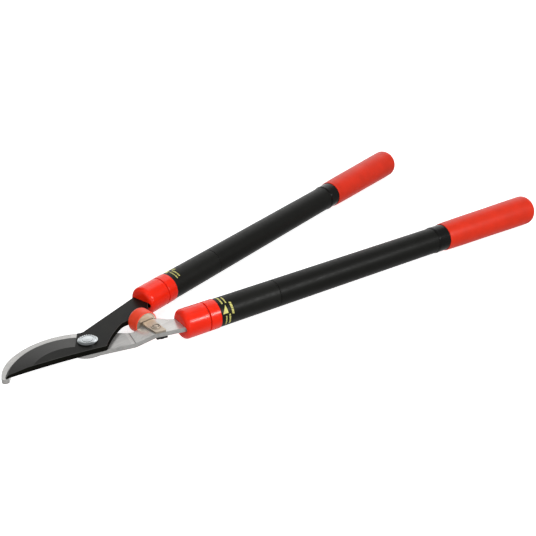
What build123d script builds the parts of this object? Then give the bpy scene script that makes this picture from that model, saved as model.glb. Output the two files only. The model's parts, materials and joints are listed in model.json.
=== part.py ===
from build123d import *
import os
from math import cos, radians, sin

# A two-handed bypass lopper with telescoping handles, lying flat and closed.
# Millimetres. +X runs along the centre line from the jaws to the grips, +Z is up, and the
# origin is under the middle of the closed tool, on the surface that it lies on.

# ---- Driving dimensions -------------------------------------------------------------------

# Handle tubes: radii, and stations measured along each handle from abreast of the pivot.
tube_radius = 14.0
tube_bore = 13.0
inner_tube_radius = 12.0
inner_tube_bore = 10.8
run_clearance = 0.06
ferrule_radius = 14.5
ferrule_front = 82.5
ferrule_back = 107.8
ring_front = 108.9
ring_back = 120.0
barrel_back = 187.6
tube_front = 187.9
lip_back = 401.3
collar_back = 414.2
grip_front = 414.3
tube_back = 539.0
grip_back = 551.4
grip_tail_radius = 16.8
grip_end_round = 8.4
inner_tube_front = 88.5
inner_tube_back = 500.0

# Handle layout about the centre line.
handle_angle = 9.45
handle_offset = 16.3
pivot_side_shift = 3.7

# Head: plate thicknesses and the steps between them, as heights above the handle axes.
blade_thickness = 5.0
blade_top = 2.0
hook_thickness = 4.5
plate_gap = 0.05
jaw_reach = 82.6
bush_radius = 6.5
shank_radius = 5.0
thread_radius = 4.0
bolt_head_radius = 9.05

# Tangs: the flat ends of the two head plates, held inside the inner tubes.
tang_half_width = 9.0
tang_shoulder = 86.5
tang_end = 146.0
tang_pin_stations = (94.0, 103.0)
tang_pin_radius = 2.5

# Bumper on the hook arm.
bumper_x = 57.2
bumper_height = 0.5
bumper_back = -10.84
bumper_front = 4.0
bumper_radius = 11.85
cup_radius = 10.85
bracket_thickness = 1.8
strap_rivet = (57.2, -25.2)
strap_rivet_radius = 2.4
foot_rivet = (57.2, -32.6)
foot_rivet_radius = 1.5

# ---- Values worked out from them ----------------------------------------------------------

angle = radians(handle_angle)
axis_height = grip_tail_radius
grip_reach = (
    cos(angle) * (grip_back - grip_end_round)
    + sin(angle) * (grip_tail_radius - grip_end_round)
    + grip_end_round
    - sin(angle) * handle_offset
)
pivot = Vector((jaw_reach - grip_reach) / 2, pivot_side_shift, axis_height)
head = Plane(origin=pivot)

blade_bottom = blade_top - blade_thickness
hook_top = blade_bottom - plate_gap
hook_bottom = hook_top - hook_thickness
arm_top = hook_thickness / 2
arm_bottom = -hook_thickness / 2

sides = {"blade_side": 1, "hook_side": -1}
handle_direction = {side: Vector(cos(angle), sign * sin(angle), 0) for side, sign in sides.items()}
handle_foot = {
    side: Vector(pivot.X - sin(angle) * handle_offset, sign * cos(angle) * handle_offset, axis_height)
    for side, sign in sides.items()
}
handle_plane = {
    side: Plane(origin=handle_foot[side], x_dir=handle_direction[side], z_dir=(0, 0, 1)) for side in sides
}
handle_axis = {side: Axis(handle_foot[side], handle_direction[side]) for side in sides}


def on_head(side, station, offset):
    """A point beside a handle's axis, as head plane coordinates."""
    point = head.to_local_coords(handle_plane[side].from_local_coords(Vector(station, offset, 0)))
    return (point.X, point.Y)


def cross_plane(side, station):
    """The plane across a handle at a station, facing the grip, with its X axis sideways."""
    origin = handle_foot[side] + handle_direction[side] * station
    return Plane(origin=origin, x_dir=handle_plane[side].y_dir, z_dir=handle_direction[side])


def half_section(side, outline, round_corners=()):
    """Half of a lengthwise section of a turned piece. Outline corners are (station, radius)."""
    with BuildSketch(handle_plane[side]) as section:
        with BuildLine():
            Polyline(*outline, close=True)
        make_face()
        for corner, radius in round_corners:
            fillet(section.vertices().sort_by_distance((corner[0], corner[1], 0))[0], radius=radius)
    return section.sketch


def save(piece, label):
    piece.part.label = label
    export_step(piece.part, f"parts/{label}.step")


os.makedirs("parts", exist_ok=True)

# ---- Cutting blade, with its arm and tang -------------------------------------------------
# The cutting edge is one arc, convex towards the hook. A broad shallow bevel and a narrow
# steep one along the edge are cones about the same centre, ground into the upper face as far
# as a radial run-out beside the pivot. A small chamfer breaks the plate's upper edges.

edge_center = (-34.6, -27.5)
edge_radius = 55.9
edge_land = 0.25
edge_bevel_width = 2.4
bevel_inner_radius = 34.2
bevel_depth = 2.2
bevel_runout_angle = 52.2
bevel_sweep = 130
bevel_overrun = 5.0
edge_break = 0.3
blade_corner = (-80.9, 3.9)
blade_heel = (7.7, -18.3)
blade_neck = (41.0, 4.4)
blade_tip_round = 1.6

with BuildPart() as cutting_blade:
    with BuildSketch(head.offset(blade_bottom)) as outline:
        with BuildLine():
            ThreePointArc(blade_corner, (-35.4, 28.39), (-2.0, 17.9))
            Polyline((-2.0, 17.9), (0.4, 17.7), (4.5, 15.8), (77.4, 36.5))
            Polyline(
                (77.4, 36.5),
                on_head("blade_side", tang_shoulder, 10.6),
                on_head("blade_side", tang_shoulder, tang_half_width),
                on_head("blade_side", tang_end, tang_half_width),
                on_head("blade_side", tang_end, -tang_half_width),
                on_head("blade_side", tang_shoulder, -tang_half_width),
                on_head("blade_side", ferrule_front, -tang_half_width),
                (70.5, 4.4),
                blade_neck,
            )
            ThreePointArc(blade_neck, (22.6, -5.9), blade_heel)
            ThreePointArc(blade_heel, (-28.8, -7.25), blade_corner)
        make_face()
        fillet(outline.vertices().sort_by_distance(blade_corner)[0], radius=blade_tip_round)
        fillet(outline.vertices().sort_by_distance((4.5, 15.8))[0], radius=6)
        fillet(outline.vertices().sort_by_distance(blade_heel)[0], radius=2.5)
        fillet(outline.vertices().sort_by_distance(blade_neck)[0], radius=8)
        fillet(outline.vertices().sort_by_distance((70.5, 4.4))[0], radius=6)
    extrude(amount=blade_thickness)
    chamfer(cutting_blade.faces().sort_by(Axis.Z)[-1].outer_wire().edges(), length=edge_break)
    runout = radians(bevel_runout_angle)
    edge_bevel_inner = edge_radius - edge_bevel_width
    edge_bevel_slope = (blade_thickness - edge_land - bevel_depth) / edge_bevel_width
    bevel_outer_radius = edge_radius + bevel_overrun
    bevel_plane = Plane(
        origin=head.from_local_coords(Vector(*edge_center)),
        x_dir=(cos(runout), sin(runout), 0),
        z_dir=(sin(runout), -cos(runout), 0),
    )
    with BuildSketch(bevel_plane):
        with BuildLine():
            Polyline(
                (bevel_inner_radius, blade_top),
                (edge_bevel_inner, blade_top - bevel_depth),
                (bevel_outer_radius, blade_bottom + edge_land - edge_bevel_slope * bevel_overrun),
                (bevel_outer_radius, blade_top + 1),
                (bevel_inner_radius, blade_top + 1),
                close=True,
            )
        make_face()
    revolve(axis=Axis(bevel_plane.origin, (0, 0, 1)), revolution_arc=bevel_sweep, mode=Mode.SUBTRACT)
    with BuildSketch(head.offset(blade_bottom)):
        Circle(bush_radius)
    extrude(amount=blade_thickness, mode=Mode.SUBTRACT)
    with BuildSketch(handle_plane["blade_side"].offset(blade_bottom)):
        with Locations(*[(station, 0) for station in tang_pin_stations]):
            Circle(tang_pin_radius)
    extrude(amount=blade_thickness, mode=Mode.SUBTRACT)
save(cutting_blade, "cutting_blade")

# ---- Hook blade: the fixed lower jaw, with a joggled arm and its tang ---------------------
# The jaw lies just under the cutting blade. Behind the pivot the arm climbs a ramp, so that
# both tangs enter the handles at the height of the handle axes.

joggle_angle = -18.2
joggle_start = 40.1
joggle_end = 58.5
joggle_bend_radius = 1.2
jaw_clear_of_tip = -120
tang_clear_of_end = 170
throat = (-17.6, 12.4)
hook_shoulder = (9.3, 20.8)
hook_belly = (2.0, -14.7)
hook_elbow = (38.3, -6.6)

with BuildPart() as hook_blade:
    with BuildSketch(head.offset(hook_bottom)) as outline:
        with BuildLine():
            ThreePointArc(hook_shoulder, (-31.4, 36.0), (-52.0, 32.9))
            ThreePointArc((-52.0, 32.9), (-69.7, 23.6), (-82.0, 8.4))
            ThreePointArc((-82.0, 8.4), (-80.8, 3.5), (-77.4, 3.6))
            Line((-77.4, 3.6), (-74.4, 6.8))
            ThreePointArc((-74.4, 6.8), (-46.5, 23.4), throat)
            Line(throat, (-15.7, 1.2))
            ThreePointArc((-15.7, 1.2), (-10.6, -9.9), hook_belly)
            Polyline(
                hook_belly,
                on_head("hook_side", tang_shoulder, -10.5),
                on_head("hook_side", tang_shoulder, -tang_half_width),
                on_head("hook_side", tang_end, -tang_half_width),
                on_head("hook_side", tang_end, tang_half_width),
                on_head("hook_side", tang_shoulder, tang_half_width),
                on_head("hook_side", ferrule_front, 9.6),
                (74.4, -19.8),
                (69.0, -11.05),
                (43.0, -11.05),
                hook_elbow,
                hook_shoulder,
            )
        make_face()
        fillet(outline.vertices().sort_by_distance(hook_shoulder)[0], radius=6)
        fillet(outline.vertices().sort_by_distance(throat)[0], radius=5)
        fillet(outline.vertices().sort_by_distance(hook_belly)[0], radius=5)
        fillet(outline.vertices().sort_by_distance(hook_elbow)[0], radius=5)
        fillet(outline.vertices().sort_by_distance((43.0, -11.05))[0], radius=5)
        fillet(outline.vertices().sort_by_distance((69.0, -11.05))[0], radius=4)
        fillet(outline.vertices().sort_by_distance((74.4, -19.8))[0], radius=8)
    extrude(amount=arm_top - hook_bottom)
    joggle = radians(joggle_angle)
    side_view = Plane(
        origin=pivot,
        x_dir=(cos(joggle), sin(joggle), 0),
        z_dir=(sin(joggle), -cos(joggle), 0),
    )
    with BuildSketch(side_view) as section:
        with BuildLine():
            Polyline(
                (jaw_clear_of_tip, hook_top),
                (joggle_start, hook_top),
                (joggle_end, arm_top),
                (tang_clear_of_end, arm_top),
                (tang_clear_of_end, arm_bottom),
                (joggle_end, arm_bottom),
                (joggle_start, hook_bottom),
                (jaw_clear_of_tip, hook_bottom),
                close=True,
            )
        make_face()
        bends = [v for v in section.vertices() if joggle_start - 1 < v.X < joggle_end + 1]
        fillet(bends, radius=joggle_bend_radius)
    extrude(amount=-jaw_clear_of_tip, both=True, mode=Mode.INTERSECT)
    with BuildSketch(head.offset(hook_bottom)):
        Circle(thread_radius)
    extrude(amount=hook_thickness, mode=Mode.SUBTRACT)
    with BuildSketch(head.offset(arm_bottom)):
        with Locations(strap_rivet):
            Circle(strap_rivet_radius)
        with Locations(foot_rivet):
            Circle(foot_rivet_radius)
    extrude(amount=hook_thickness, mode=Mode.SUBTRACT)
    with BuildSketch(handle_plane["hook_side"].offset(arm_bottom)):
        with Locations(*[(station, 0) for station in tang_pin_stations]):
            Circle(tang_pin_radius)
    extrude(amount=hook_thickness, mode=Mode.SUBTRACT)
save(hook_blade, "hook_blade")

# ---- Pivot: shouldered bolt, washer, bush and low nut -------------------------------------

washer_thickness = 0.5
washer_inset = 0.3
nut_height = 1.95
nut_radius = 7.5
nut_chamfer = 0.5
head_edge = 0.6
dome_shoulder = (7.8, 1.25)
dome_rim = (6.1, 1.6)
groove_depth = 0.3
groove_outer = 5.8
groove_inner = 5.0
boss_radius = 4.7
boss_edge = 1.7
boss_height = 2.0
washer_bottom = blade_top + plate_gap
washer_top = washer_bottom + washer_thickness
nut_bottom = hook_bottom - nut_height

with BuildPart() as pivot_bolt:
    with BuildSketch(Plane(origin=pivot, x_dir=(1, 0, 0), z_dir=(0, -1, 0))) as profile:
        with BuildLine():
            Polyline(
                (0, nut_bottom),
                (thread_radius, nut_bottom),
                (thread_radius, hook_top),
                (shank_radius, hook_top),
                (shank_radius, washer_top),
                (bolt_head_radius, washer_top),
                (bolt_head_radius, washer_top + head_edge),
            )
            ThreePointArc(
                (bolt_head_radius, washer_top + head_edge),
                (dome_shoulder[0], washer_top + dome_shoulder[1]),
                (dome_rim[0], washer_top + dome_rim[1]),
            )
            Polyline(
                (dome_rim[0], washer_top + dome_rim[1]),
                (groove_outer, washer_top + dome_rim[1] - groove_depth),
                (groove_inner, washer_top + dome_rim[1] - groove_depth),
                (boss_radius, washer_top + boss_edge),
                (0, washer_top + boss_height),
                (0, nut_bottom),
            )
        make_face()
    revolve(axis=Axis(pivot, (0, 0, 1)))
save(pivot_bolt, "pivot_bolt")

with BuildPart() as pivot_washer:
    with BuildSketch(head.offset(washer_bottom)):
        Circle(bolt_head_radius - washer_inset)
        Circle(shank_radius, mode=Mode.SUBTRACT)
    extrude(amount=washer_top - washer_bottom)
save(pivot_washer, "pivot_washer")

with BuildPart() as pivot_bush:
    with BuildSketch(head.offset(blade_bottom)):
        Circle(bush_radius)
        Circle(shank_radius + run_clearance, mode=Mode.SUBTRACT)
    extrude(amount=blade_thickness)
save(pivot_bush, "pivot_bush")

with BuildPart() as pivot_nut:
    with BuildSketch(head.offset(nut_bottom)):
        RegularPolygon(radius=nut_radius, side_count=6, major_radius=False)
        Circle(thread_radius, mode=Mode.SUBTRACT)
    extrude(amount=hook_bottom - nut_bottom)
    chamfer(pivot_nut.faces().sort_by(Axis.Z)[0].outer_wire().edges(), length=nut_chamfer)
save(pivot_nut, "pivot_nut")

# ---- Bumper: rubber buffer, its steel bracket, and what holds the bracket -----------------
# The bracket is a round plate behind the rubber, with a strap folded from it that lies across
# the arm as far as its outer edge. A dark backing plate lies under the arm, its front edge
# parallel to the joggle.

bracket_top = arm_top + bracket_thickness
near_edge_slope = -0.383
near_edge_at_zero = -13.93
strap_left = 51.4
strap_right = 63.4
strap_end_left = 51.0
strap_end_right = 60.8
strap_inset = 0.2
strap_corner_round = 1.5
relief_radius = 1.6
score_width = 0.9
score_depth = 1.3
backing_inner = -20.5
backing_outer = -33.6
backing_right = 61.2
backing_inset = 0.2
backing_clear_of_bend = 0.9
backing_gap = 0.05
backing_thickness = 1.9
rubber_front_round = 4.0
rubber_back_round = 0.45
rivet_tail_radius = 3.5
rivet_tail_height = 0.6
rivet_head_radius = 4.7
rivet_head_edge = 0.3
rivet_crown_radius = 4.3
rivet_crown_inner = 3.6
rivet_crown_height = 0.8
rivet_groove_outer = 3.3
rivet_groove_inner = 2.5
rivet_groove_height = 0.25
rivet_button_radius = 2.2
rivet_button_edge = 0.6
rivet_button_height = 1.0
foot_dome_radius = 3.4
foot_dome_height = 1.4
backing_top = arm_bottom - backing_gap
backing_bottom = backing_top - backing_thickness


def near_edge(x, beyond):
    """A point on the hook arm's outer edge, or outside it."""
    return (x, near_edge_at_zero + near_edge_slope * x - beyond)


def behind_joggle(y):
    """A point just behind the joggle's rear bend."""
    return ((joggle_end + backing_clear_of_bend - y * sin(joggle)) / cos(joggle), y)


bumper_foot = head.from_local_coords(Vector(bumper_x, bumper_back, bumper_height))
bumper_plane = Plane(origin=bumper_foot, x_dir=(1, 0, 0), z_dir=(0, 1, 0))

with BuildPart() as bumper_bracket:
    with BuildSketch(bumper_plane):
        Circle(cup_radius)
    extrude(amount=bracket_thickness)
    with BuildSketch(head.offset(arm_top)) as strap:
        with BuildLine():
            Polyline(
                (strap_left, bumper_back + bracket_thickness),
                (strap_right, bumper_back + bracket_thickness),
                near_edge(strap_end_right, -strap_inset),
                near_edge(strap_end_left, -strap_inset),
                close=True,
            )
        make_face()
        fillet(strap.vertices().group_by(Axis.Y)[:2], radius=strap_corner_round)
    extrude(amount=bracket_thickness)
    # Bend reliefs: a round notch at each end of the fold.
    with BuildSketch(head.offset(arm_top)):
        with Locations((strap_left, bumper_back), (strap_right, bumper_back)):
            Circle(relief_radius)
    extrude(amount=bracket_thickness, mode=Mode.SUBTRACT)
    # The fold is scored across the strap, against the round plate.
    with BuildSketch(head.offset(bracket_top)):
        with Locations(((strap_left + strap_right) / 2, bumper_back - score_width / 2)):
            Rectangle(strap_right - strap_left, score_width)
    extrude(amount=-score_depth, mode=Mode.SUBTRACT)
    with BuildSketch(head.offset(arm_top)):
        with Locations(strap_rivet):
            Circle(strap_rivet_radius)
    extrude(amount=bracket_thickness, mode=Mode.SUBTRACT)
save(bumper_bracket, "bumper_bracket")

with BuildPart() as bumper_rubber:
    depth = bumper_front - bumper_back
    rubber_plane = Plane(origin=bumper_plane.origin, x_dir=(0, 1, 0), z_dir=(0, 0, 1))
    with BuildSketch(rubber_plane) as profile:
        with BuildLine():
            Polyline(
                (bracket_thickness, 0),
                (bracket_thickness, cup_radius),
                (0, cup_radius),
                (0, bumper_radius),
                (depth, bumper_radius),
                (depth, 0),
                close=True,
            )
        make_face()
        fillet(profile.vertices().sort_by_distance((depth, bumper_radius, 0))[0], radius=rubber_front_round)
        fillet(profile.vertices().sort_by_distance((0, bumper_radius, 0))[0], radius=rubber_back_round)
    revolve(axis=Axis(bumper_plane.origin, (0, 1, 0)))
save(bumper_rubber, "bumper_rubber")

with BuildPart() as backing_plate:
    with BuildSketch(head.offset(backing_bottom)):
        with BuildLine():
            Polyline(
                behind_joggle(backing_inner),
                (backing_right, backing_inner),
                near_edge(backing_right, -backing_inset),
                behind_joggle(backing_outer),
                close=True,
            )
        make_face()
        with Locations(strap_rivet):
            Circle(strap_rivet_radius, mode=Mode.SUBTRACT)
        with Locations(foot_rivet):
            Circle(foot_rivet_radius, mode=Mode.SUBTRACT)
    extrude(amount=backing_top - backing_bottom)
save(backing_plate, "backing_plate")

with BuildPart() as strap_button_rivet:
    rivet_axis = Axis(head.from_local_coords(Vector(*strap_rivet)), (0, 0, 1))
    with BuildSketch(Plane(origin=rivet_axis.position, x_dir=(1, 0, 0), z_dir=(0, -1, 0))):
        with BuildLine():
            Polyline(
                (0, backing_bottom - rivet_tail_height),
                (rivet_tail_radius, backing_bottom - rivet_tail_height),
                (rivet_tail_radius, backing_bottom),
                (strap_rivet_radius, backing_bottom),
                (strap_rivet_radius, bracket_top),
                (rivet_head_radius, bracket_top),
                (rivet_head_radius, bracket_top + rivet_head_edge),
                (rivet_crown_radius, bracket_top + rivet_crown_height),
                (rivet_crown_inner, bracket_top + rivet_crown_height),
                (rivet_groove_outer, bracket_top + rivet_groove_height),
                (rivet_groove_inner, bracket_top + rivet_groove_height),
                (rivet_button_radius, bracket_top + rivet_button_edge),
                (0, bracket_top + rivet_button_height),
                close=True,
            )
        make_face()
    revolve(axis=rivet_axis)
save(strap_button_rivet, "strap_button_rivet")

with BuildPart() as foot_dome_rivet:
    rivet_axis = Axis(head.from_local_coords(Vector(*foot_rivet)), (0, 0, 1))
    with BuildSketch(Plane(origin=rivet_axis.position, x_dir=(1, 0, 0), z_dir=(0, -1, 0))):
        with BuildLine():
            Polyline(
                (0, backing_bottom - foot_dome_height),
                (0, arm_top),
                (foot_rivet_radius, arm_top),
                (foot_rivet_radius, backing_bottom),
                (foot_dome_radius, backing_bottom),
            )
            TangentArc(
                (0, backing_bottom - foot_dome_height),
                (foot_dome_radius, backing_bottom),
                tangent=(1, 0),
            )
        make_face()
    revolve(axis=rivet_axis)
save(foot_dome_rivet, "foot_dome_rivet")

# ---- Handles: the same pieces on both sides -----------------------------------------------

slot_width = 24.4
slot_clearance = 0.35
ferrule_nose_round = 4.5
insert_back = 150.0
bush_back = 508.0
bush_plug_front = 488.0
wiper_front = 110.4
wiper_back = 112.6
spigot_back = 125.0
collet_front = 127.0
collet_neck_radius = 12.9
collet_slot_length = 26.0
collet_back = 212.0
lip_front = 397.8
lip_radius = 14.7
collar_radius = 14.45
plug_front = 527.0
tang_thickness = {"blade_side": blade_thickness, "hook_side": hook_thickness}
tang_middle = {"blade_side": (blade_top + blade_bottom) / 2, "hook_side": (arm_top + arm_bottom) / 2}

for side in sides:
    # Ferrule: a plastic cap over the tube's front end, slotted for the tang.
    with BuildPart() as ferrule:
        section = half_section(
            side,
            [
                (ferrule_front, 0),
                (ferrule_front, ferrule_radius),
                (ferrule_back, ferrule_radius),
                (ferrule_back, inner_tube_radius),
                (inner_tube_front, inner_tube_radius),
                (inner_tube_front, 0),
            ],
            [((ferrule_front, ferrule_radius), ferrule_nose_round), ((ferrule_back, ferrule_radius), 0.5)],
        )
        revolve(section, axis=handle_axis[side])
        with BuildSketch(cross_plane(side, ferrule_front)):
            with Locations((0, tang_middle[side])):
                SlotOverall(slot_width, tang_thickness[side] + 2 * slot_clearance)
        extrude(amount=inner_tube_front - ferrule_front, mode=Mode.SUBTRACT)
    save(ferrule, f"ferrule_{side}")

    # Inner tube: fixed to the head, and the outer tube slides along it.
    with BuildPart() as inner_tube:
        section = half_section(
            side,
            [
                (inner_tube_front, inner_tube_bore),
                (inner_tube_front, inner_tube_radius),
                (inner_tube_back, inner_tube_radius),
                (inner_tube_back, inner_tube_bore),
            ],
        )
        revolve(section, axis=handle_axis[side])
        with BuildSketch(handle_plane[side]):
            with Locations(*[(station, 0) for station in tang_pin_stations]):
                Circle(tang_pin_radius)
        extrude(amount=tube_radius, both=True, mode=Mode.SUBTRACT)
    save(inner_tube, f"inner_tube_{side}")

    # Tang insert: a moulded core that holds the flat tang in the round tube.
    with BuildPart() as tang_insert:
        section = half_section(
            side,
            [
                (inner_tube_front + 0.5, 0),
                (inner_tube_front + 0.5, inner_tube_bore),
                (insert_back, inner_tube_bore),
                (insert_back, 0),
            ],
        )
        revolve(section, axis=handle_axis[side])
        with BuildSketch(cross_plane(side, inner_tube_front)):
            with Locations((0, tang_middle[side])):
                Rectangle(2 * tang_half_width, tang_thickness[side])
        extrude(amount=tang_end - inner_tube_front, mode=Mode.SUBTRACT)
        with BuildSketch(handle_plane[side]):
            with Locations(*[(station, 0) for station in tang_pin_stations]):
                Circle(tang_pin_radius)
        extrude(amount=tube_radius, both=True, mode=Mode.SUBTRACT)
    save(tang_insert, f"tang_insert_{side}")

    # Two pins through tube, insert and tang, flush with the tube.
    with BuildPart() as tang_pins:
        with BuildSketch(handle_plane[side]):
            with Locations(*[(station, 0) for station in tang_pin_stations]):
                Circle(tang_pin_radius)
        extrude(amount=inner_tube_radius - 0.4, both=True)
    save(tang_pins, f"tang_pins_{side}")

    # Guide bush: plugs the inner tube's far end and centres it in the outer tube.
    with BuildPart() as guide_bush:
        section = half_section(
            side,
            [
                (bush_plug_front, 0),
                (bush_plug_front, inner_tube_bore),
                (inner_tube_back, inner_tube_bore),
                (inner_tube_back, tube_bore - run_clearance),
                (bush_back, tube_bore - run_clearance),
                (bush_back, 0),
            ],
            [((bush_back, tube_bore - run_clearance), 1.0)],
        )
        revolve(section, axis=handle_axis[side])
    save(guide_bush, f"guide_bush_{side}")

    # Lock ring: the coloured front end of the twist-lock sleeve.
    with BuildPart() as lock_ring:
        section = half_section(
            side,
            [
                (ring_front, inner_tube_radius + 0.3),
                (ring_front, ferrule_radius),
                (ring_back, ferrule_radius),
                (ring_back, collet_neck_radius + run_clearance),
                (spigot_back, collet_neck_radius + run_clearance),
                (spigot_back, inner_tube_radius + 0.3),
                (wiper_back, inner_tube_radius + 0.3),
                (wiper_back, inner_tube_radius + 1.2),
                (wiper_front, inner_tube_radius + 1.2),
                (wiper_front, inner_tube_radius + 0.3),
            ],
            [((ring_front, ferrule_radius), 0.5), ((ring_back, ferrule_radius), 0.6)],
        )
        revolve(section, axis=handle_axis[side])
    save(lock_ring, f"lock_ring_{side}")

    # Wiper: a rubber ring that keeps dirt out of the lock.
    with BuildPart() as wiper_ring:
        section = half_section(
            side,
            [
                (wiper_front, inner_tube_radius + run_clearance),
                (wiper_front, inner_tube_radius + 1.2),
                (wiper_back, inner_tube_radius + 1.2),
                (wiper_back, inner_tube_radius + run_clearance),
            ],
        )
        revolve(section, axis=handle_axis[side])
    save(wiper_ring, f"wiper_ring_{side}")

    # Lock barrel: the part of the sleeve that the hand twists.
    with BuildPart() as lock_barrel:
        section = half_section(
            side,
            [
                (ring_back, collet_neck_radius + run_clearance),
                (ring_back, tube_radius),
                (barrel_back, tube_radius),
                (barrel_back, collet_neck_radius + run_clearance),
            ],
            [((barrel_back, tube_radius), 0.4)],
        )
        revolve(section, axis=handle_axis[side])
    save(lock_barrel, f"lock_barrel_{side}")

    # Collet: split fingers that grip the inner tube, on a neck fixed in the outer tube.
    with BuildPart() as collet:
        section = half_section(
            side,
            [
                (collet_front, inner_tube_radius + run_clearance),
                (collet_front, collet_neck_radius - 0.4),
                (collet_front + collet_slot_length, collet_neck_radius),
                (tube_front, collet_neck_radius),
                (tube_front, tube_bore),
                (collet_back, tube_bore),
                (collet_back, inner_tube_radius + run_clearance),
            ],
        )
        revolve(section, axis=handle_axis[side])
        with BuildSketch(cross_plane(side, collet_front)):
            Rectangle(2 * tube_radius, 1.5)
            Rectangle(1.5, 2 * tube_radius)
        extrude(amount=collet_slot_length - 2, mode=Mode.SUBTRACT)
    save(collet, f"collet_{side}")

    # Outer tube: carries the grip and slides on the inner tube.
    with BuildPart() as outer_tube:
        section = half_section(
            side,
            [
                (tube_front, tube_bore),
                (tube_front, tube_radius),
                (tube_back, tube_radius),
                (tube_back, tube_bore),
            ],
            [((tube_front, tube_radius), 0.4)],
        )
        revolve(section, axis=handle_axis[side])
    save(outer_tube, f"outer_tube_{side}")

    # Lip: a flared trim ring where the bare tube ends.
    with BuildPart() as lip_ring:
        section = half_section(
            side,
            [
                (lip_front, tube_radius),
                (lip_front, tube_radius + 0.1),
                (lip_back - 1.4, lip_radius),
                (lip_back, lip_radius),
                (lip_back, tube_radius),
            ],
            [((lip_back, lip_radius), 0.3)],
        )
        revolve(section, axis=handle_axis[side])
    save(lip_ring, f"lip_ring_{side}")

    # Grip collar: a glossy sleeve between the lip and the grip.
    with BuildPart() as grip_collar:
        section = half_section(
            side,
            [
                (lip_back + 0.1, tube_radius),
                (lip_back + 0.1, collar_radius),
                (collar_back, collar_radius),
                (collar_back, tube_radius),
            ],
            [((lip_back + 0.1, collar_radius), 0.2)],
        )
        revolve(section, axis=handle_axis[side])
    save(grip_collar, f"grip_collar_{side}")

    # Grip: soft, swelling towards a rounded tail.
    with BuildPart() as grip:
        tail = grip_back - grip_end_round
        tail_arc = grip_end_round * sin(radians(45))
        with BuildSketch(handle_plane[side]) as profile:
            with BuildLine():
                Spline(
                    (grip_front, 15.15),
                    (grip_front + 20.6, 15.75),
                    (grip_front + 68.6, 16.2),
                    (tail, grip_tail_radius),
                    tangents=((1, 0.05), (1, 0)),
                )
                ThreePointArc(
                    (tail, grip_tail_radius),
                    (tail + tail_arc, grip_tail_radius - grip_end_round + tail_arc),
                    (grip_back, grip_tail_radius - grip_end_round),
                )
                Polyline(
                    (grip_back, grip_tail_radius - grip_end_round),
                    (grip_back, 0),
                    (tube_back + 0.2, 0),
                    (tube_back + 0.2, tube_radius),
                    (grip_front, tube_radius),
                    (grip_front, 15.15),
                )
            make_face()
            fillet(profile.vertices().sort_by_distance((grip_front, 15.15, 0))[0], radius=0.6)
        revolve(axis=handle_axis[side])
    save(grip, f"grip_{side}")

    # Tube plug: closes the outer tube under the grip's end.
    with BuildPart() as tube_plug:
        section = half_section(
            side,
            [(plug_front, 0), (plug_front, tube_bore), (tube_back, tube_bore), (tube_back, 0)],
        )
        revolve(section, axis=handle_axis[side])
    save(tube_plug, f"tube_plug_{side}")

grip_end = handle_plane["blade_side"].from_local_coords(Vector(grip_back, 0, 0))
print("pivot", pivot, "grip end", grip_end, "handle direction", handle_direction["blade_side"])
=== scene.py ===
import json
from math import cos, pi, radians, sin

import bmesh
import bpy
from mathutils import Matrix, Vector


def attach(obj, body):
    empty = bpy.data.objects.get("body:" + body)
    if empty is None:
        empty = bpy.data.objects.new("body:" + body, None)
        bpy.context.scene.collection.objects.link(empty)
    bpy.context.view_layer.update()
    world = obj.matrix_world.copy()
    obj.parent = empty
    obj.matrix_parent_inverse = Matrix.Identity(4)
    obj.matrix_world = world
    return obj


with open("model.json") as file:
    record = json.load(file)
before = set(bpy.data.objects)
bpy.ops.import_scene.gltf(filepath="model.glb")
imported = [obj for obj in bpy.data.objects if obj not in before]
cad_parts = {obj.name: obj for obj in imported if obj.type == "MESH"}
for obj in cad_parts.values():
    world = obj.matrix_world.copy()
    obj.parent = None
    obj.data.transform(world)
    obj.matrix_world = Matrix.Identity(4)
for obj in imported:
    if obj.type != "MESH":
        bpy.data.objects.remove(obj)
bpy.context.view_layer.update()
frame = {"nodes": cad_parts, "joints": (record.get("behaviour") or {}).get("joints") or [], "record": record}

# A telescoping bypass lopper on a white studio table. Metres, in the CAD's own frame.

MM = 0.001
SIDES = ("blade_side", "hook_side")
JOINTS = {joint["name"]: joint for joint in frame["joints"]}
PIVOT = Vector(JOINTS["jaw_hinge"]["pos_m"])

# ---- Handle axes, from the twist joints ----------------------------------------------------
# A station is a distance along a handle's axis, measured from abreast of the pivot.

BARREL_RADIUS = 14.0 * MM


def handle_axis(side):
    """A handle's axis as a matrix: origin at station 0, X along the handle, Z up."""
    joint = JOINTS["lock_twist_" + side]
    along = Vector(joint["axis"]).normalized()
    sideways = Vector((0, 0, 1)).cross(along)
    # The foot of the pivot on the axis is station 0.
    point = Vector(joint["pos_m"])
    origin = point + along * (PIVOT - point).dot(along)
    rows = [[along[i], sideways[i], (0, 0, 1)[i], origin[i]] for i in range(3)]
    return Matrix(rows + [[0, 0, 0, 1]])


AXES = {side: handle_axis(side) for side in SIDES}

# ---- Camera --------------------------------------------------------------------------------

CAMERA_FROM_PIVOT = Vector((-0.36870, -0.61384, 0.43864))
CAMERA_VIEW = Vector((0.6161, 0.6382, -0.4617)).normalized()
CAMERA_LENS = 61.68
SENSOR_WIDTH = 36


def add_camera():
    data = bpy.data.cameras.new("camera")
    data.lens = CAMERA_LENS
    data.sensor_width = SENSOR_WIDTH
    data.sensor_fit = "HORIZONTAL"
    data.clip_start = 0.01
    camera = bpy.data.objects.new("camera", data)
    bpy.context.scene.collection.objects.link(camera)
    right = CAMERA_VIEW.cross(Vector((0, 0, 1))).normalized()
    up = right.cross(CAMERA_VIEW)
    place = PIVOT + CAMERA_FROM_PIVOT
    rows = [[right[i], up[i], -CAMERA_VIEW[i], place[i]] for i in range(3)]
    camera.matrix_world = Matrix(rows + [[0, 0, 0, 1]])
    bpy.context.scene.camera = camera


# ---- Materials -----------------------------------------------------------------------------


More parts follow.
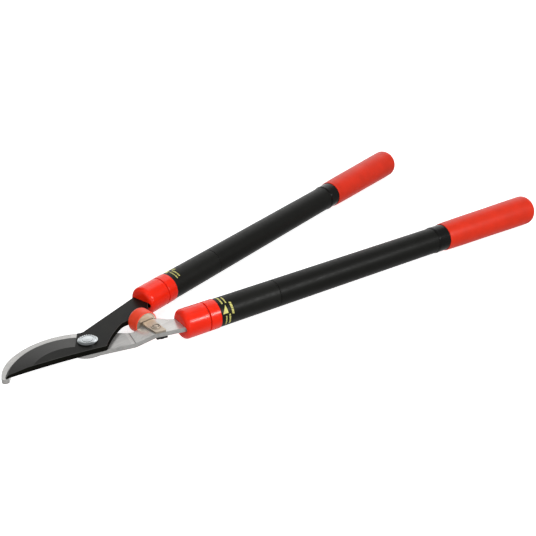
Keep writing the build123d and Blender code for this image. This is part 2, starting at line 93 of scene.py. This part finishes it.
class Nodes:
    """A short way to build a material's node tree."""

    def __init__(self, name):
        self.material = bpy.data.materials.new(name)
        self.material.use_nodes = True
        self.tree = self.material.node_tree
        self.shader = self.tree.nodes["Principled BSDF"]

    def add(self, kind, inputs=None, **settings):
        node = self.tree.nodes.new(kind)
        for key, value in settings.items():
            setattr(node, key, value)
        for key, value in (inputs or {}).items():
            self.put(node, key, value)
        return node

    def put(self, node, key, value):
        if isinstance(value, bpy.types.NodeSocket):
            self.tree.links.new(value, node.inputs[key])
        else:
            node.inputs[key].default_value = value

    def position(self):
        return self.add("ShaderNodeTexCoord").outputs["Object"]

    def noise(self, scale, detail, where=None, roughness=0.5):
        inputs = {"Scale": scale, "Detail": detail, "Roughness": roughness}
        inputs["Vector"] = where or self.position()
        return self.add("ShaderNodeTexNoise", inputs).outputs["Fac"]

    def ramp(self, value, low, high, to_low, to_high):
        node = self.add("ShaderNodeMapRange", {"Value": value, "From Min": low, "From Max": high})
        self.put(node, "To Min", to_low)
        self.put(node, "To Max", to_high)
        return node.outputs["Result"]

    def blend(self, factor, first, second):
        node = self.add("ShaderNodeMix", data_type="RGBA")
        self.put(node, 0, factor)
        self.put(node, 6, first)
        self.put(node, 7, second)
        return node.outputs[2]

    def maths(self, operation, first, second=0.0):
        node = self.add("ShaderNodeMath", operation=operation)
        self.put(node, 0, first)
        self.put(node, 1, second)
        return node.outputs[0]

    def times(self, first, second):
        return self.maths("MULTIPLY", first, second)

    def vector_maths(self, operation, first, second):
        node = self.add("ShaderNodeVectorMath", operation=operation)
        self.put(node, 0, first)
        self.put(node, 1, second)
        return node.outputs["Value" if operation == "DOT_PRODUCT" else "Vector"]

    def away_from(self, where, centre):
        return self.vector_maths("SUBTRACT", where, tuple(centre))

    def between(self, value, low, high):
        """1 where the value lies between the two limits, 0 elsewhere."""
        above = self.maths("GREATER_THAN", value, low)
        return self.times(above, self.maths("LESS_THAN", value, high))

    def face_tilt(self):
        """How far a face looks up, from its true normal: 1 straight up, 0 sideways."""
        normal = self.add("ShaderNodeNewGeometry").outputs["True Normal"]
        return self.add("ShaderNodeSeparateXYZ", {"Vector": normal}).outputs["Z"]

    def band(self, value, middle, half_width):
        """1 at the middle of a band, falling to 0 at its edges."""
        off = self.maths("ABSOLUTE", self.maths("SUBTRACT", value, middle))
        return self.ramp(off, 0.0, half_width, 1.0, 0.0)

    def bump(self, height, strength, distance, below=None):
        inputs = {"Height": height, "Strength": strength, "Distance": distance}
        node = self.add("ShaderNodeBump", inputs)
        if below is not None:
            self.put(node, "Normal", below)
        return node.outputs["Normal"]

    def finish(self, **inputs):
        for key, value in inputs.items():
            self.put(self.shader, key.replace("_", " "), value)
        return self.material


def shade(colour, factor=1.0):
    return (colour[0] * factor, colour[1] * factor, colour[2] * factor, 1)


# The spans of a noise's values that are stretched from 0 to 1: a narrow one has more contrast.
NARROW = (0.35, 0.65)
WIDE = (0.3, 0.7)

# Broad patches of slightly different colour and gloss on moulded pieces.
PATCH_SCALE = 60
GLOSS_SCALE = 220
GLOSS_SPREAD = 0.12


def moulded(name, colour, roughness, grain, grain_depth, variation=0.06, specular=0.5):
    """Moulded plastic, rubber or paint: slightly uneven, with a grain. Its depth is in mm."""
    n = Nodes(name)
    patches = n.ramp(n.noise(PATCH_SCALE, 3), *NARROW, 0, 1)
    tint = n.blend(patches, shade(colour, 1 - variation), shade(colour, 1 + variation))
    low = roughness * (1 - GLOSS_SPREAD)
    high = roughness * (1 + GLOSS_SPREAD)
    return n.finish(
        Base_Color=tint,
        Roughness=n.ramp(n.noise(GLOSS_SCALE, 3), *WIDE, low, high),
        Normal=n.bump(n.noise(grain, 2), 0.35, grain_depth * MM),
        Specular_IOR_Level=specular,
    )


# The cutting blade's finishes: the coating's two tones, bare ground steel's two tones, and the chamfers'
# light grey, partly bare steel and partly a painted highlight along the edges.
COAT_TONES = ((0.006, 0.006, 0.005), (0.009, 0.009, 0.007))
BARE_TONES = ((0.043, 0.042, 0.040), (0.072, 0.070, 0.067))
CHAMFER_BARE_AND_HIGHLIGHT = (0.06, 0.06, 0.056)

# How far a face looks up: 1 for a flat face, 0 for an upright one.
BEVEL_TILTS = (0.9, 0.9985)
CHAMFER_TILTS = (0.5, 0.9)
SHEEN_TILTS = (0.3, 0.7)
UPWARD = 0.3

# The centre of the cutting edge's arc, from the pivot. The bevel darkens toward the tip between
# two turns about it, in degrees. The hook's rim lies outside RIM_RADIUS, past RIM_START.
EDGE_CENTRE = Vector((-34.6, -27.5, 0)) * MM
BEVEL_TURNS = (62, 148)
RIM_RADIUS = 54.0 * MM
RIM_START = 58

# The joggle's direction from the pivot, and its press lines as (station, half width, darkness): the broad
# first band is painted shade before the bend, and the darkest line is painted shade in the bend's crease.
JOGGLE_RUN = Vector((cos(radians(-18.2)), sin(radians(-18.2)), 0))
JOGGLE_LINES_AND_SHADE = [
    (37.0 * MM, 4.0 * MM, 0.22),
    (35.8 * MM, 0.5 * MM, 0.40),
    (37.1 * MM, 0.5 * MM, 0.45),
    (38.3 * MM, 0.5 * MM, 0.55),
    (39.6 * MM, 0.9 * MM, 1.0),
]
# The stretch of the hook arm before the joggle is darkened with painted shade.
PAINTED_SHADE_RUN = (8.0 * MM, 14.0 * MM, 36.0 * MM, 37.0 * MM)
PAINTED_SHADE_DARKNESS = 0.38

# Strokes stamped round the far half of the pivot bolt's head.
STROKE_RING = 7.3 * MM
STROKE_LENGTH = 1.5 * MM
STROKE_COUNT = 22
STROKE_SIDE = (0.69, 0.72, 0.0)
STROKE_DARKNESS = 0.95

# The strap rivet's axis, and the groove round its button, which is darkened with painted shade.
RIVET_POINTS = [vertex.co for vertex in frame["nodes"]["strap_button_rivet"].data.vertices]
RIVET_SPANS = [[point[i] for point in RIVET_POINTS] for i in range(3)]
RIVET = Vector([(min(span) + max(span)) / 2 for span in RIVET_SPANS])
GROOVE_RADIUS = 2.9 * MM
GROOVE_HALF_WIDTH = 0.8 * MM
GROOVE_SHADE_DARKNESS = 0.9


def polar_place(n, where, centre):
    """Polar place about an upright axis through the centre: the distance and the turn."""
    split = n.add("ShaderNodeSeparateXYZ", {"Vector": n.away_from(where, centre)}).outputs
    turn = n.maths("ARCTAN2", split["Y"], split["X"])
    squares = n.maths("ADD", n.times(split["X"], split["X"]), n.times(split["Y"], split["Y"]))
    return n.maths("SQRT", squares), turn


def grinding_lines(n, turn, pitch):
    """Fine lines square to the edge, as a grinding wheel leaves them."""
    place = n.add("ShaderNodeCombineXYZ", {"X": n.times(turn, pitch)}).outputs[0]
    return n.noise(4.0, 4, place, 0.7)


def blade_material():
    """Non-stick coating, with a ground bevel that has lines across it and is coated to the tip."""
    n = Nodes("coated_blade")
    _, turn = polar_place(n, n.position(), PIVOT + EDGE_CENTRE)
    lines = grinding_lines(n, turn, 60.0)
    tilt = n.face_tilt()
    ground = n.between(tilt, *BEVEL_TILTS)
    chamfer = n.between(tilt, *CHAMFER_TILTS)
    coat = n.blend(n.ramp(n.noise(90, 3), *NARROW, 0, 1), *map(shade, COAT_TONES))
    bare = n.blend(n.ramp(lines, *WIDE, 0, 1), *map(shade, BARE_TONES))
    bevel_heel, bevel_tip = map(radians, BEVEL_TURNS)
    toward_tip = n.ramp(turn, bevel_heel, bevel_tip, 0.0, 0.95)
    bevel = n.blend(toward_tip, bare, coat)
    height = n.blend(ground, n.noise(900, 3), lines)
    return n.finish(
        # Chamfers are light grey: bare steel, with a painted highlight along the edges.
        Base_Color=n.blend(chamfer, n.blend(ground, coat, bevel), shade(CHAMFER_BARE_AND_HIGHLIGHT)),
        Roughness=n.ramp(ground, 0, 1, 0.44, 0.38),
        Metallic=n.times(ground, n.ramp(toward_tip, 0, 1, 0.5, 0.1)),
        Normal=n.bump(height, 0.3, 0.04 * MM),
        Specular_IOR_Level=n.ramp(tilt, *SHEEN_TILTS, 0.0, 0.14),
    )


def rim_marks(n, where):
    """Grinding lines across the hook's rim, outside the cutting edge."""
    distance, turn = polar_place(n, where, PIVOT + EDGE_CENTRE)
    on_rim = n.maths("GREATER_THAN", distance, RIM_RADIUS)
    on_jaw = n.maths("GREATER_THAN", turn, radians(RIM_START))
    lines = n.ramp(grinding_lines(n, turn, 45.0), 0.42, 0.60, 0.04, 0.34)
    return n.times(lines, n.times(on_rim, on_jaw))


def hook_marks_and_shade(n, where):
    """Dark marks on the hook's upper faces: press lines with painted shade at the joggle, painted shade on
    the stretch before it, and the rim's lines.
    """
    along = n.vector_maths("DOT_PRODUCT", n.away_from(where, PIVOT), tuple(JOGGLE_RUN))
    # Painted shade over the stretch before the joggle: where it starts, is full, ends and is gone.
    shade_from, shade_fully, shade_until, unshaded_from = PAINTED_SHADE_RUN
    marks = n.ramp(along, shade_from, shade_fully, 0.0, PAINTED_SHADE_DARKNESS)
    marks = n.times(marks, n.ramp(along, shade_until, unshaded_from, 1.0, 0.0))
    # Press lines, with painted shade in the broad band and in the crease line.
    for station, half_width, depth in JOGGLE_LINES_AND_SHADE:
        marks = n.maths("MAXIMUM", marks, n.times(n.band(along, station, half_width), depth))
    upward = n.maths("GREATER_THAN", n.face_tilt(), UPWARD)
    return n.times(n.maths("MAXIMUM", marks, rim_marks(n, where)), upward)


def rivet_groove_shade(n, where):
    """Painted shade in the groove round the strap rivet's button."""
    distance, _ = polar_place(n, where, RIVET)
    return n.times(n.band(distance, GROOVE_RADIUS, GROOVE_HALF_WIDTH), GROOVE_SHADE_DARKNESS)


def head_marks(n, where):
    """Stamped strokes round the pivot bolt's dome."""
    distance, turn = polar_place(n, where, PIVOT)
    ring = n.between(distance, STROKE_RING - STROKE_LENGTH / 2, STROKE_RING + STROKE_LENGTH / 2)
    phase = n.maths("FRACT", n.times(turn, STROKE_COUNT / (2 * pi)))
    strokes = n.times(ring, n.maths("LESS_THAN", phase, 0.5))
    toward_far_side = n.vector_maths("DOT_PRODUCT", n.away_from(where, PIVOT), STROKE_SIDE)
    on_far_side = n.maths("GREATER_THAN", toward_far_side, 0.0)
    return n.times(strokes, n.times(on_far_side, STROKE_DARKNESS))


# Brushing is long along its direction and fine across it.
BRUSH_SCALE = (30, 900, 900)
BLOTCH_SCALE = 70
PITTING_SCALE = 2500
SCRATCH_DEPTH = 0.03 * MM
MARK_SHADE = 0.1


def steel_material(
    name, colour, roughness, along, streak=1.0, metallic=1.0, blotch=0.08, marks=None
):
    """Bare or plated steel, with fine brushing along one direction, and dark marks if any, some of which are
    painted shade.
    """
    n = Nodes(name)
    where = n.position()
    turned = {"Vector": where, "Rotation": (0, 0, -along), "Scale": BRUSH_SCALE}
    lines = n.noise(1.0, 4, n.add("ShaderNodeMapping", turned).outputs["Vector"], 0.65)
    mottle = n.maths("ADD", n.times(lines, 0.6), n.times(n.noise(BLOTCH_SCALE, 4, where), 0.4))
    mottle = n.ramp(mottle, *NARROW, 0, 1)
    tint = n.blend(mottle, shade(colour, 1 - blotch), shade(colour, 1 + blotch))
    if marks:
        tint = n.blend(marks(n, where), tint, shade(colour, MARK_SHADE))
    gloss = n.ramp(lines, *WIDE, roughness * 0.85, roughness * 1.15)
    pitting = n.bump(n.noise(PITTING_SCALE, 2, where), 0.2, SCRATCH_DEPTH)
    normal = n.bump(lines, 0.25 * streak, SCRATCH_DEPTH, pitting)
    return n.finish(Base_Color=tint, Roughness=gloss, Metallic=metallic, Normal=normal)


RED = (1.0, 0.023, 0.004)
GRIP_RED = (0.79, 0.033, 0.0095)
HOOK_STEEL = (0.64, 0.63, 0.61)
BRIGHT_ZINC = (0.60, 0.635, 0.65)
YELLOW_ZINC = (0.60, 0.51, 0.41)
BUFFER_RED = (1.0, 0.070, 0.024)
BARREL_BLACK = (0.0125, 0.0127, 0.0112)
TUBE_BLACK = (0.0095, 0.0097, 0.0085)
GLOSS_BLACK = (0.009, 0.009, 0.0085)
YELLOW = (0.80, 0.75, 0.22)


def make_materials():
    """One finish for each material slot of the record."""
    along_hook_arm = radians(-18)
    return {
        "blade_coating": blade_material(),
        "hook_steel": steel_material(
            "blasted_steel", HOOK_STEEL, 0.22, along_hook_arm, 1.0, 0.55, 0.17, hook_marks_and_shade
        ),
        "zinc_plate": steel_material("bright_zinc", BRIGHT_ZINC, 0.10, 0.3, 0.5, marks=head_marks),
        "bronze": steel_material("sintered_bronze", (0.55, 0.36, 0.16), 0.35, 0.0),
        # The strap rivet's groove gets painted shade.
        "passivated_steel": steel_material(
            "passivated_steel", YELLOW_ZINC, 0.38, 1.4, 0.6, 0.75, marks=rivet_groove_shade
        ),
        "bumper_rubber": moulded("bumper_rubber", BUFFER_RED, 0.42, 1600, 0.06, specular=0.45),
        "black_steel": moulded("black_steel", (0.012, 0.012, 0.013), 0.4, 1200, 0.04),
        "red_plastic": moulded("red_plastic", RED, 0.24, 500, 0.03, 0.04, 0.45),
        "bare_aluminium": steel_material("drawn_aluminium", (0.72, 0.73, 0.74), 0.3, 0.0),
        "core_plastic": moulded("core_plastic", (0.60, 0.59, 0.55), 0.5, 900, 0.05),
        "black_rubber": moulded("black_rubber", (0.02, 0.02, 0.02), 0.6, 1200, 0.06),
        "barrel_plastic": moulded("barrel_plastic", BARREL_BLACK, 0.42, 1500, 0.05, specular=0.17),
        "tube_paint": moulded("powder_coat", TUBE_BLACK, 0.42, 1400, 0.07, specular=0.17),
        "black_plastic": moulded("black_plastic", GLOSS_BLACK, 0.22, 700, 0.02, 0.05, 0.2),
        "grip_rubber": moulded("grip_rubber", GRIP_RED, 0.42, 1800, 0.07, 0.05, 0.3),
        "yellow_ink": moulded("yellow_ink", YELLOW, 0.5, 900, 0.02, 0.12, 0.3),
    }


def paint_cad_nodes(materials):
    for part in frame["record"]["subparts"]:
        node = frame["nodes"][part["node"]]
        node.data.materials.clear()
        node.data.materials.append(materials[part["material_slot"]])


# ---- Printed marks on the lock barrels -----------------------------------------------------
# Generic marks in place of lettering: two rows of ticks round the barrel, an arrow that points
# the way the sleeve turns, and a row of slanted bars beside it. Angles go round the barrel from
# its inner side over the top, in degrees.

PRINT_HEIGHT = 0.04 * MM
PRINT_LIFT = 0.01 * MM
# Rows as (station, height, first angle, last angle).
TICK_ROWS = [(125.0 * MM, 1.6 * MM, 72, 122), (128.9 * MM, 1.4 * MM, 82, 125)]
LOWER_ROWS = [(125.4 * MM, 1.3 * MM, 170, 219), (129.3 * MM, 1.7 * MM, 166, 212)]
SLANTED_ROW = (133.0 * MM, 2.3 * MM, 119, 171)
TICK_PITCH = 5.0
TICK_WIDTHS = (3.6, 2.4, 4.0, 3.0)
SLANT = 4.0
ARROW_TIP = (127.2 * MM, 126)
ARROW_BASE = 160
ARROW_NEAR = 122.1 * MM
ARROW_FAR = 128.0 * MM
ARROW_STRIPS = 12
# Each strip but for this part of it, so that no two strips touch.
STRIP_GAP = 0.02
# How far the whole print is turned round each barrel.
PRINT_TURN = {"blade_side": -84, "hook_side": 0}


def on_barrel(side, station, degrees, lift):
    turn = radians(degrees + PRINT_TURN[side])
    radius = BARREL_RADIUS + lift
    return AXES[side] @ Vector((station, radius * cos(turn), radius * sin(turn)))


def add_patch(mesh, side, corners):
    """A thin printed patch on the barrel. Corners are (station, degrees), in order round it."""
    levels = []
    for lift in (PRINT_LIFT, PRINT_LIFT + PRINT_HEIGHT):
        places = [on_barrel(side, station, degrees, lift) for station, degrees in corners]
        levels.append([mesh.verts.new(place) for place in places])
    below, above = levels
    mesh.faces.new(above)
    mesh.faces.new(list(reversed(below)))
    for i in range(len(corners)):
        j = (i + 1) % len(corners)
        mesh.faces.new((below[i], below[j], above[j], above[i]))


def add_row(mesh, side, row, slant):
    """A row of ticks round the barrel, slanted by so many degrees."""
    station, height, first, last = row
    low = station - height / 2
    high = station + height / 2
    for i in range(int((last - first) / TICK_PITCH)):
        start = first + i * TICK_PITCH
        end = start + TICK_WIDTHS[i % len(TICK_WIDTHS)]
        corners = [(low, start), (high, start + slant), (high, end + slant), (low, end)]
        add_patch(mesh, side, corners)


def add_arrow(mesh, side):
    """A solid triangle, cut into strips so that it follows the barrel's curve."""
    tip_station, tip_degrees = ARROW_TIP

    def across(part):
        degrees = tip_degrees + (ARROW_BASE - tip_degrees) * part
        near = tip_station + (ARROW_NEAR - tip_station) * part
        far = tip_station + (ARROW_FAR - tip_station) * part
        return (near, degrees), (far, degrees)

    for i in range(ARROW_STRIPS):
        near_a, far_a = across((i + STRIP_GAP) / ARROW_STRIPS)
        near_b, far_b = across((i + 1) / ARROW_STRIPS)
        add_patch(mesh, side, [near_a, far_a, far_b, near_b])


def add_print(side, material):
    mesh = bmesh.new()
    for row in TICK_ROWS + LOWER_ROWS:
        add_row(mesh, side, row, 0.0)
    add_row(mesh, side, SLANTED_ROW, SLANT)
    add_arrow(mesh, side)
    bmesh.ops.recalc_face_normals(mesh, faces=mesh.faces)
    data = bpy.data.meshes.new("print_" + side)
    mesh.to_mesh(data)
    mesh.free()
    data.materials.append(material)
    piece = bpy.data.objects.new("print_" + side, data)
    bpy.context.scene.collection.objects.link(piece)
    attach(piece, "lock_" + side)


# ---- Studio --------------------------------------------------------------------------------

ROOM_STRENGTH = 0.20
# Bright patches of the room, first the sweep and then the table: direction, the cosines of the
# angles where the patch starts and where it is full, and its strength.
PATCHES = [
    ((0.6945, 0.7195, 0.0), 0.48, 0.95, 1.10),
    ((0.0, 0.0, -1.0), 0.45, 0.95, 0.45),
]
# Area lights round the head: direction, size, power, and whether they show as highlights.
LIGHTS = [
    ("front_softbox", (0.376, -0.803, 0.462), (0.6, 0.35), 12.0, True),
    ("back_softbox", (0.60, 0.30, 0.72), (0.8, 0.7), 1.5, True),
    ("overhead_fill", (0.0, 0.1, 1.0), (2.0, 2.0), 13.0, False),
    ("front_fill", (-0.30, -0.90, 0.28), (1.6, 1.6), 15.0, False),
    ("side_fill", (-0.88, -0.30, 0.32), (1.6, 1.6), 10.0, False),
]
LIGHT_DISTANCE = 2.0
LIT_POINT = PIVOT + Vector((0.08, 0, 0))

TABLE_HALF_WIDTH = 4.0
TABLE_DROP = 0.2 * MM
TABLE_TONES = ((0.93, 0.93, 0.93), (0.95, 0.95, 0.95))
TABLE_GLOW = 0.75


def add_floor():
    mesh = bpy.data.meshes.new("floor")
    half = TABLE_HALF_WIDTH
    corners = [(-half, -half, 0), (half, -half, 0), (half, half, 0), (-half, half, 0)]
    mesh.from_pydata(corners, [], [(0, 1, 2, 3)])
    floor = bpy.data.objects.new("floor", mesh)
    floor.location = (0, 0, -TABLE_DROP)
    bpy.context.scene.collection.objects.link(floor)
    n = Nodes("white_table")
    tone = n.blend(n.ramp(n.noise(3, 2), *WIDE, 0, 1), *map(shade, TABLE_TONES))
    glow = {"Emission_Color": (1, 1, 1, 1), "Emission_Strength": TABLE_GLOW}
    floor.data.materials.append(n.finish(Base_Color=tone, Roughness=0.8, **glow))
    floor.visible_glossy = False
    floor.visible_diffuse = False


def add_light(name, direction, size, power, shows):
    data = bpy.data.lights.new(name, "AREA")
    data.shape = "RECTANGLE"
    data.size, data.size_y = size
    data.energy = power
    light = bpy.data.objects.new(name, data)
    light.location = LIT_POINT + LIGHT_DISTANCE * Vector(direction)
    aim = LIT_POINT - light.location
    light.rotation_euler = aim.to_track_quat("-Z", "Y").to_euler()
    light.visible_glossy = shows
    bpy.context.scene.collection.objects.link(light)


def add_room():
    """A dim room, with a bright white sweep behind the table and a pale table below."""
    world = bpy.data.worlds.new("studio")
    world.use_nodes = True
    tree = world.node_tree
    direction = tree.nodes.new("ShaderNodeTexCoord").outputs["Generated"]
    total = None
    for patch_direction, start, full, strength in PATCHES:
        facing = tree.nodes.new("ShaderNodeVectorMath")
        facing.operation = "DOT_PRODUCT"
        facing.inputs[1].default_value = patch_direction
        tree.links.new(direction, facing.inputs[0])
        patch = tree.nodes.new("ShaderNodeMapRange")
        patch.interpolation_type = "SMOOTHSTEP"
        floor_strength = ROOM_STRENGTH if total is None else 0.0
        for name, value in (
            ("From Min", start),
            ("From Max", full),
            ("To Min", floor_strength),
            ("To Max", floor_strength + strength),
        ):
            patch.inputs[name].default_value = value
        tree.links.new(facing.outputs["Value"], patch.inputs["Value"])
        if total is None:
            total = patch.outputs["Result"]
        else:
            both = tree.nodes.new("ShaderNodeMath")
            tree.links.new(total, both.inputs[0])
            tree.links.new(patch.outputs["Result"], both.inputs[1])
            total = both.outputs[0]
    tree.links.new(total, tree.nodes["Background"].inputs["Strength"])
    tree.nodes["Background"].inputs["Color"].default_value = (1, 1, 1, 1)
    bpy.context.scene.world = world


def add_studio():
    add_room()
    add_floor()
    for light in LIGHTS:
        add_light(*light)
    bpy.context.scene.view_settings.view_transform = "Standard"


# ---- Making --------------------------------------------------------------------------------

add_camera()
materials = make_materials()
paint_cad_nodes(materials)
for side in SIDES:
    add_print(side, materials["yellow_ink"])
add_studio()
